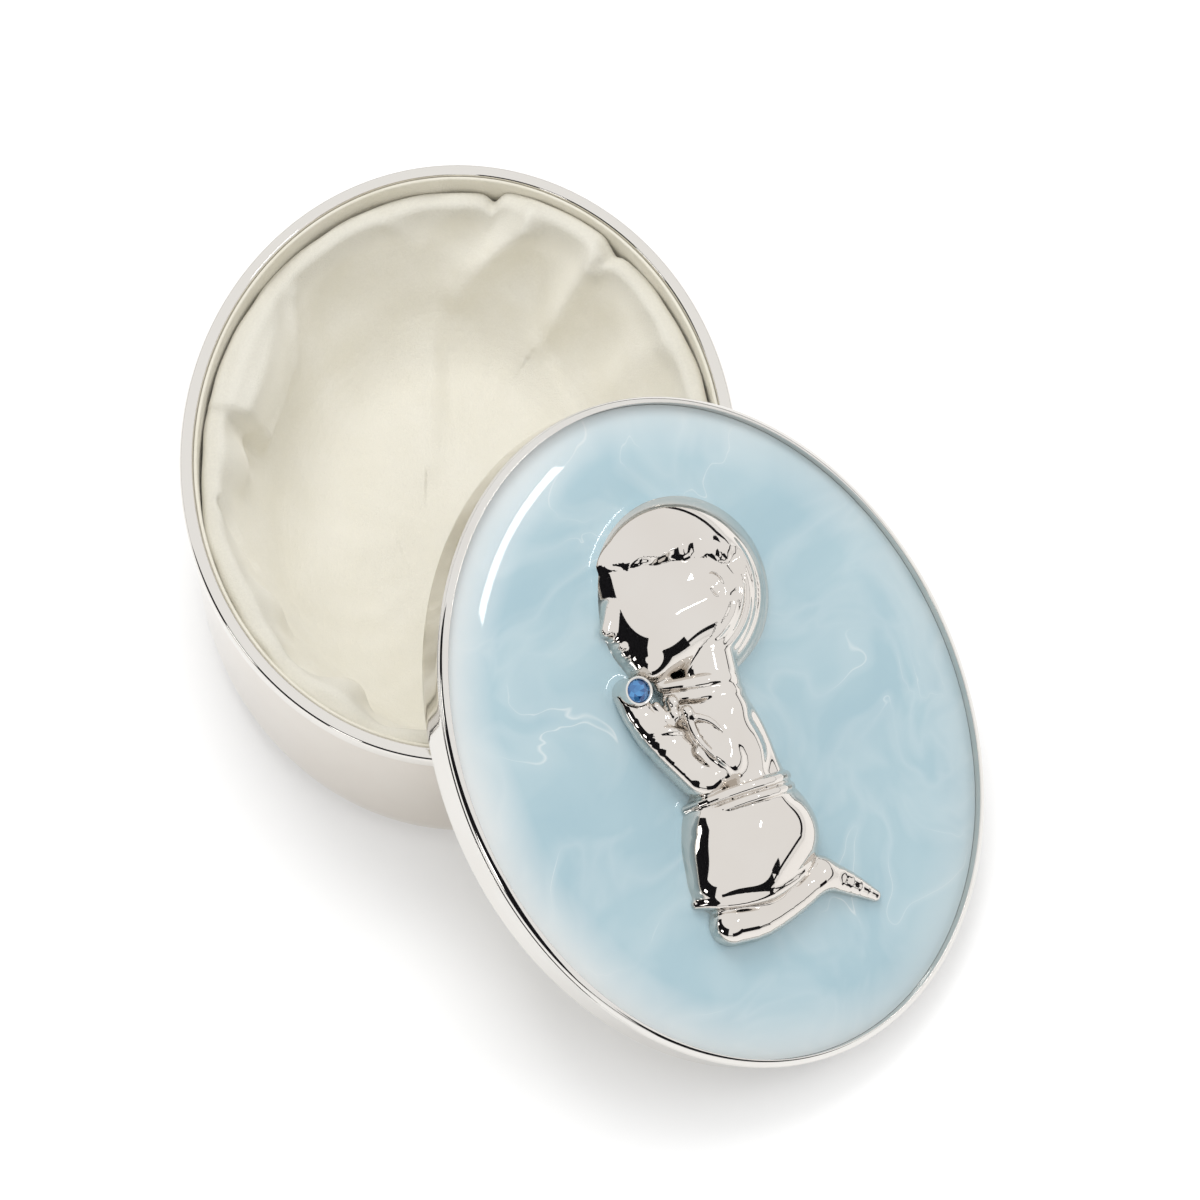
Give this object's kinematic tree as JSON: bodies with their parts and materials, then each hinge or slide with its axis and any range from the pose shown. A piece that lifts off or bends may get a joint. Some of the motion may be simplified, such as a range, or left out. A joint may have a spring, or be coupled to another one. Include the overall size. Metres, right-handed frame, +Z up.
{
  "type": "baby keepsake box",
  "caption": "Oval silver-plated keepsake box lined with cream velvet, its lid with pale blue enamel and a kneeling praying child leaning on the rim.",
  "frame": {"origin": "centre of the flat underside of the box, on the surface it stands on", "axes": "+Z up, +Y along the box's long axis towards its back, +X along its short axis; the lid leans towards +X -Y"},
  "size_m": [0.0932, 0.1131, 0.0434],
  "materials": {
    "silver_plate": "polished silver plate",
    "strip_velvet": "short pile velvet",
    "lining_card": "plain card",
    "cream_velvet": "short pile velvet",
    "lid_silver": "polished silver plate",
    "pearl_enamel": "glossy pearl enamel",
    "lid_velvet": "short pile velvet",
    "figure_silver": "mirror polished silver plate",
    "setting_silver": "polished silver plate",
    "blue_glass": "faceted"
  },
  "bodies": {
    "box": {"box_body": "silver_plate", "wall_lining": "strip_velvet", "floor_card": "lining_card", "gathered_lining": "cream_velvet"},
    "lid": {"lid_shell": "lid_silver", "enamel_panel": "pearl_enamel", "lid_lining": "lid_velvet", "praying_child": "figure_silver", "stone_setting": "setting_silver", "blue_stone": "blue_glass"}
  },
  "joints": [
    {"name": "lid_lift", "type": "slide", "parent": "box", "child": "lid", "axis": [0, 0, 1], "range_m": [0, 0.06]}
  ]
}
